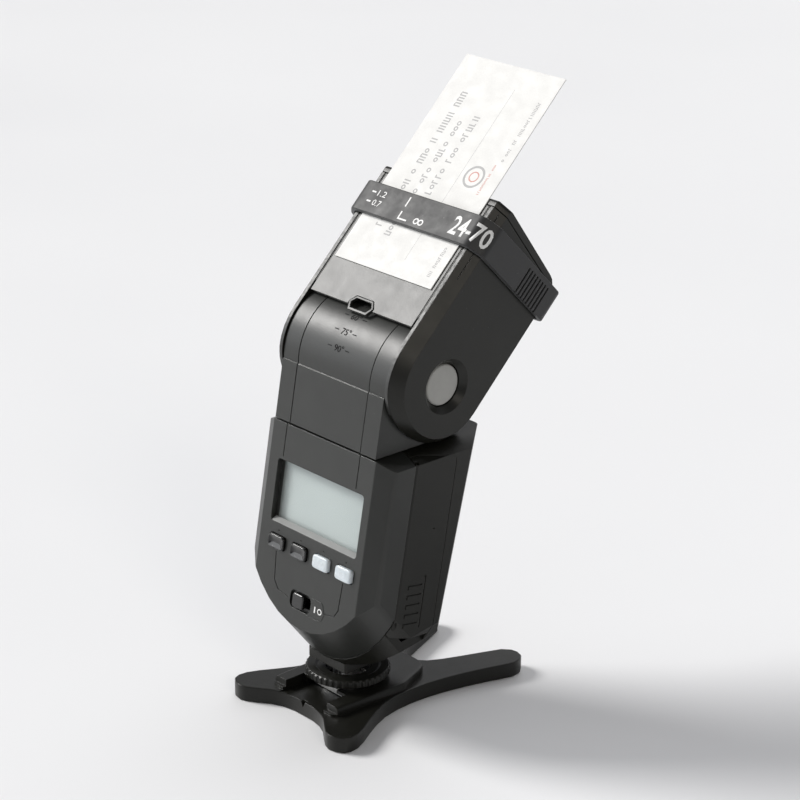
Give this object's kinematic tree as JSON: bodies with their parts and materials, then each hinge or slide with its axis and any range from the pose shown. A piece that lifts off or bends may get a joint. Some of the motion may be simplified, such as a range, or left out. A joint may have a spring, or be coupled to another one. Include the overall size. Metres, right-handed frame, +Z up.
{
  "type": "speedlight flash",
  "caption": "Shoe-mount camera flash on a low table stand, with a tilting and swivelling head, rear display and buttons, battery door, elastic band and white bounce card.",
  "frame": {"origin": "underside of the table stand, on the ground directly below the axis of the shoe lock wheel", "axes": "+X to the right seen from the control panel, +Y forward, the way the flash head points, +Z up"},
  "size_m": [0.0688, 0.1102, 0.2264],
  "materials": {
    "satin_black": "satin moulded",
    "shell_plastic": "fine spark-eroded texture",
    "panel_plastic": "fine spark-eroded texture",
    "gloss_black": "gloss",
    "milky_plastic": "translucent satin",
    "light_grey": "satin",
    "steel": "bright plated",
    "brass": "bright",
    "lcd_grey": "unlit display",
    "clear_plastic": "clear",
    "dark_red": "deep red filter",
    "circuit_board": "solder mask",
    "capacitor_sleeve": "shrink sleeve",
    "cell_can": "printed label",
    "reflector": "polished",
    "tube_glass": "clear",
    "band_rubber": "matt",
    "card_stock": "uncoated white"
  },
  "bodies": {
    "stand": {"stand_base": "satin_black", "stand_tripod_insert": "brass"},
    "flash_body": {"shoe_plate": "steel", "shoe_contact_1": "brass", "shoe_contact_2": "brass", "shoe_contact_3": "brass", "shoe_contact_4": "brass", "shoe_contact_5": "brass", "foot_block": "shell_plastic", "rear_shell": "panel_plastic", "front_shell": "shell_plastic", "lcd_window": "clear_plastic", "lcd_module": "lcd_grey", "main_board": "circuit_board", "battery_tray": "satin_black", "battery_cell_1": "cell_can", "battery_cell_2": "cell_can", "battery_cell_3": "cell_can", "battery_cell_4": "cell_can", "cell_strap_lower": "steel", "cell_strap_upper": "steel", "main_capacitor": "capacitor_sleeve", "focus_lamp_window": "dark_red"},
    "wheel": {"lock_wheel": "satin_black"},
    "pin": {"lock_pin": "steel"},
    "button_1": {"panel_button_1": "gloss_black"},
    "button_2": {"panel_button_2": "gloss_black"},
    "button_3": {"panel_button_3": "milky_plastic"},
    "button_4": {"panel_button_4": "milky_plastic"},
    "slider": {"power_slider": "gloss_black"},
    "door_rail": {"door_hinge_pin": "steel"},
    "door": {"battery_door": "shell_plastic", "door_contact_plate": "steel"},
    "neck": {"neck_housing": "panel_plastic", "neck_back_cover": "panel_plastic", "swivel_retaining_ring": "steel", "tilt_pin_left": "steel", "tilt_pin_right": "steel"},
    "head": {"head_cheek_left": "shell_plastic", "head_cheek_right": "shell_plastic", "head_tub": "shell_plastic", "head_top_panel": "panel_plastic", "front_bezel": "shell_plastic", "fresnel_lens": "clear_plastic", "zoom_rail_left": "steel", "zoom_rail_right": "steel", "zoom_motor": "steel", "elastic_band": "band_rubber"},
    "release": {"tilt_release_button": "light_grey"},
    "zoom_carriage": {"zoom_sled": "satin_black", "flash_reflector": "reflector", "flash_tube": "tube_glass"},
    "screw": {"zoom_screw": "steel"},
    "card": {"bounce_card": "card_stock"}
  },
  "joints": [
    {"name": "stand_slot_slide", "type": "slide", "parent": "stand", "child": "flash_body", "axis": [0, -1, 0], "range_m": [0, 0.03]},
    {"name": "lock_wheel_turn", "type": "hinge", "parent": "flash_body", "child": "wheel", "pos_m": [0, 0, 0.013], "axis": [0, 0, 1], "range_deg": [0, 120]},
    {"name": "lock_pin_drop", "type": "slide", "parent": "flash_body", "child": "pin", "axis": [0, 0, -1], "range_m": [0, 0.0014]},
    {"name": "power_slide", "type": "slide", "parent": "flash_body", "child": "slider", "axis": [1, 0, 0], "range_m": [-0.0016, 0.003]},
    {"name": "door_slide", "type": "slide", "parent": "flash_body", "child": "door_rail", "axis": [0, -0.165, -0.9863], "range_m": [0, 0.006]},
    {"name": "door_swing", "type": "hinge", "parent": "door_rail", "child": "door", "pos_m": [0.0329, -0.0029, 0.07146], "axis": [0, 0.165, 0.9863], "range_deg": [-88, 0]},
    {"name": "neck_swivel", "type": "hinge", "parent": "flash_body", "child": "neck", "pos_m": [0, 0.0166, 0.1], "axis": [0, 0, 1], "range_deg": [-90, 180]},
    {"name": "head_tilt", "type": "hinge", "parent": "neck", "child": "head", "pos_m": [0, 0.0166, 0.1286], "axis": [1, 0, 0], "range_deg": [-45, 45]},
    {"name": "tilt_release_press", "type": "slide", "parent": "head", "child": "release", "axis": [-1, 0, 0], "range_m": [0, 0.0012], "stiffness_N_per_m": 400, "springref_m": -0.001},
    {"name": "zoom_travel", "type": "slide", "parent": "head", "child": "zoom_carriage", "axis": [0, 0.7071, 0.7071], "range_m": [-0.0045, 0.006]},
    {"name": "zoom_screw_turn", "type": "hinge", "parent": "head", "child": "screw", "pos_m": [0.01, 0.05542, 0.14635], "axis": [0, 0.7071, 0.7071], "range_deg": [-271, 361]},
    {"name": "card_slide", "type": "slide", "parent": "head", "child": "card", "axis": [0, 0.7071, 0.7071], "range_m": [-0.012, 0.018]},
    {"name": "panel_button_1_press", "type": "slide", "parent": "flash_body", "child": "button_1", "axis": [0, 0.9863, -0.165], "range_m": [0, 0.0008], "stiffness_N_per_m": 400, "springref_m": -0.001},
    {"name": "panel_button_2_press", "type": "slide", "parent": "flash_body", "child": "button_2", "axis": [0, 0.9863, -0.165], "range_m": [0, 0.0008], "stiffness_N_per_m": 400, "springref_m": -0.001},
    {"name": "panel_button_3_press", "type": "slide", "parent": "flash_body", "child": "button_3", "axis": [0, 0.9863, -0.165], "range_m": [0, 0.0008], "stiffness_N_per_m": 400, "springref_m": -0.001},
    {"name": "panel_button_4_press", "type": "slide", "parent": "flash_body", "child": "button_4", "axis": [0, 0.9863, -0.165], "range_m": [0, 0.0008], "stiffness_N_per_m": 400, "springref_m": -0.001}
  ],
  "couplings": [
    {"joint": "lock_pin_drop", "follows": "lock_wheel_turn", "m_per_rad": 0.000668},
    {"joint": "zoom_screw_turn", "follows": "zoom_travel", "rad_per_m": 1047.2}
  ]
}
